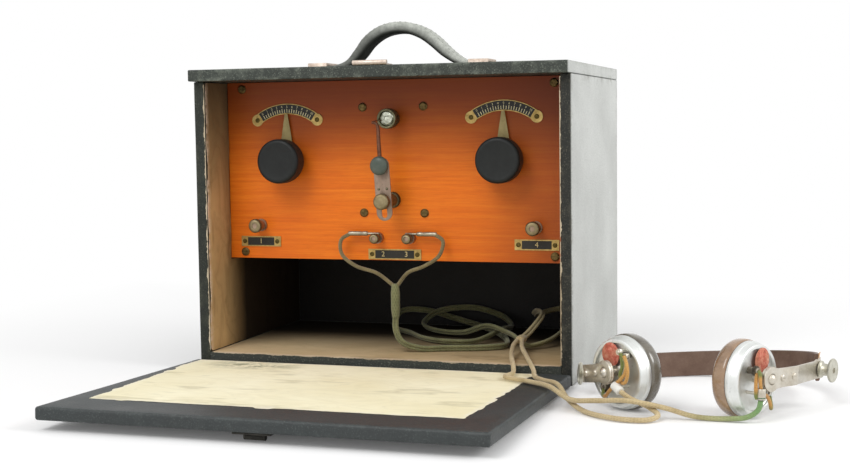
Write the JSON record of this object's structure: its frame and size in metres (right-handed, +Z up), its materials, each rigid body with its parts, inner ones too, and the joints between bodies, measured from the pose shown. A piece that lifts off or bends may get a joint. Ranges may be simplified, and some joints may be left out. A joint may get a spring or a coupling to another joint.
{
  "type": "portable crystal radio receiver",
  "caption": "Portable crystal radio in a black covered case with a drop-down door, orange wood panel, two dials, crystal detector, and headphones on a braided cord.",
  "frame": {"origin": "centre of the case's footprint, at the bottom", "axes": "+X to the right as seen from the front, +Y to the back, +Z up"},
  "size_m": [0.534, 0.4613, 0.3013],
  "materials": {
    "leatherette": "pebbled black covering",
    "panel_wood": "orange varnished, straight grain",
    "inner_wood": "bare, hidden",
    "paper": "stained lining paper",
    "strap_leather": "worn black",
    "band_leather": "worn brown",
    "brass": "aged",
    "nickel": "dull nickel plate",
    "steel": "dull",
    "aluminium": "satin",
    "bakelite": "black, slightly worn",
    "cap_plastic": "brown-grey, glossy",
    "crystal_grey": "silvery, facetted",
    "copper": "dark copper",
    "fibre": "brown fibre board",
    "magnet_iron": "black",
    "braid_green": "olive braid",
    "braid_tan": "tan braid"
  },
  "bodies": {
    "case": {"case_bottom": "leatherette", "case_left_side": "leatherette", "case_right_side": "leatherette", "case_back": "leatherette", "case_top": "leatherette", "panel_frame": "inner_wood", "front_panel": "panel_wood", "panel_screws": "steel", "strike_plate": "steel", "handle_strap": "strap_leather", "handle_keepers": "nickel", "case_hinges": "steel", "panel_plates": "brass", "panel_pins": "brass", "shaft_bushes": "steel", "coil_former": "fibre", "coil_winding": "copper", "crystal_cup": "nickel", "crystal": "crystal_grey", "detector_post": "nickel", "binding_posts": "nickel", "wiring": "copper", "left_tip_lead": "braid_green", "right_tip_lead": "braid_green", "cord_fittings": "braid_green", "main_cord": "braid_green", "left_branch": "braid_tan", "right_branch": "braid_tan"},
    "left_tuner": {"left_knob": "bakelite", "left_pointer": "brass", "left_shaft": "steel"},
    "right_tuner": {"right_knob": "bakelite", "right_pointer": "brass", "right_shaft": "steel"},
    "detector_arm": {"detector_strip": "nickel"},
    "detector_clamp": {"detector_nut": "nickel"},
    "whisker_holder": {"whisker": "copper"},
    "ground_clamp": {"ground_nut": "nickel"},
    "aerial_clamp": {"aerial_nut": "nickel"},
    "left_phone_clamp": {"left_phone_nut": "nickel"},
    "right_phone_clamp": {"right_phone_nut": "nickel"},
    "door": {"door_board": "leatherette", "door_paper": "paper", "door_hinge_leaves": "steel", "catch_plate": "steel"},
    "catch": {"catch_hook": "steel"},
    "headset": {"headband": "band_leather", "band_clips": "nickel"},
    "left_swing_arm": {"left_arm": "nickel"},
    "right_swing_arm": {"right_arm": "nickel"},
    "left_arm_clamp": {"left_arm_nut": "nickel"},
    "right_arm_clamp": {"right_arm_nut": "nickel"},
    "left_earpiece": {"left_cup": "aluminium", "left_cap": "cap_plastic", "left_motor": "magnet_iron", "left_fittings": "steel"},
    "right_earpiece": {"right_cup": "aluminium", "right_cap": "cap_plastic", "right_motor": "magnet_iron", "right_fittings": "steel"}
  },
  "joints": [
    {"name": "door_hinge", "type": "hinge", "parent": "case", "child": "door", "pos_m": [0, -0.1123, 0.0025], "axis": [-1, 0, 0], "range_deg": [0, 88.3], "deforming": ["left_branch", "right_branch"]},
    {"name": "catch_hinge", "type": "hinge", "parent": "door", "child": "catch", "pos_m": [0, -0.34836, 0.0039], "axis": [-1, 0, 0], "range_deg": [0, 180]},
    {"name": "left_tuner_turn", "type": "hinge", "parent": "case", "child": "left_tuner", "pos_m": [-0.098, -0.058, 0.1803], "axis": [0, 1, 0], "range_deg": [-38, 38]},
    {"name": "right_tuner_turn", "type": "hinge", "parent": "case", "child": "right_tuner", "pos_m": [0.098, -0.058, 0.1803], "axis": [0, 1, 0], "range_deg": [-38, 38]},
    {"name": "detector_arm_swing", "type": "hinge", "parent": "case", "child": "detector_arm", "pos_m": [-0.001, -0.058, 0.1462], "axis": [0, 1, 0], "range_deg": [-1, 3.5]},
    {"name": "detector_nut_turn", "type": "hinge", "parent": "case", "child": "detector_clamp", "pos_m": [-0.001, -0.058, 0.1462], "axis": [0, -1, 0], "range_deg": [-180, 180]},
    {"name": "whisker_turn", "type": "hinge", "parent": "detector_arm", "child": "whisker_holder", "pos_m": [-0.00285, -0.058, 0.17644], "axis": [0, 1, 0], "range_deg": [-1.5, 6]},
    {"name": "ground_nut_turn", "type": "hinge", "parent": "case", "child": "ground_clamp", "pos_m": [-0.125, -0.058, 0.1235], "axis": [0, -1, 0], "range_deg": [-180, 180]},
    {"name": "aerial_nut_turn", "type": "hinge", "parent": "case", "child": "aerial_clamp", "pos_m": [0.125, -0.058, 0.1235], "axis": [0, -1, 0], "range_deg": [-180, 180]},
    {"name": "left_phone_nut_turn", "type": "hinge", "parent": "case", "child": "left_phone_clamp", "pos_m": [-0.0146, -0.058, 0.1135], "axis": [0, -1, 0], "range_deg": [-180, 180]},
    {"name": "right_phone_nut_turn", "type": "hinge", "parent": "case", "child": "right_phone_clamp", "pos_m": [0.0146, -0.058, 0.1135], "axis": [0, -1, 0], "range_deg": [-180, 180]},
    {"name": "headset_lift", "type": "slide", "parent": "case", "child": "headset", "axis": [0, 0, 1], "range_m": [0, 0.12], "deforming": ["left_branch", "right_branch"]},
    {"name": "left_arm_swing", "type": "hinge", "parent": "headset", "child": "left_swing_arm", "pos_m": [0.18801, -0.14034, 0.01738], "axis": [-1, 0, 0], "range_deg": [-30, 60], "deforming": ["left_branch", "right_branch"]},
    {"name": "right_arm_swing", "type": "hinge", "parent": "headset", "child": "right_swing_arm", "pos_m": [0.35595, -0.13629, 0.02756], "axis": [-0.9317, 0.3633, 0], "range_deg": [-30, 60], "deforming": ["left_branch", "right_branch"]},
    {"name": "left_arm_nut_turn", "type": "hinge", "parent": "headset", "child": "left_arm_clamp", "pos_m": [0.18801, -0.14034, 0.01738], "axis": [-1, 0, 0], "range_deg": [-180, 180]},
    {"name": "right_arm_nut_turn", "type": "hinge", "parent": "headset", "child": "right_arm_clamp", "pos_m": [0.35595, -0.13629, 0.02756], "axis": [0.9317, -0.3633, 0], "range_deg": [-180, 180]},
    {"name": "left_earpiece_turn", "type": "hinge", "parent": "left_swing_arm", "child": "left_earpiece", "pos_m": [0.2088, -0.1993, 0.03], "axis": [0, 0, -1], "range_deg": [-6, 15], "deforming": ["left_branch", "right_branch"]},
    {"name": "right_earpiece_turn", "type": "hinge", "parent": "right_swing_arm", "child": "right_earpiece", "pos_m": [0.3246, -0.1984, 0.03], "axis": [0, 0, 1], "range_deg": [-15, 15], "deforming": ["left_branch", "right_branch"]}
  ]
}
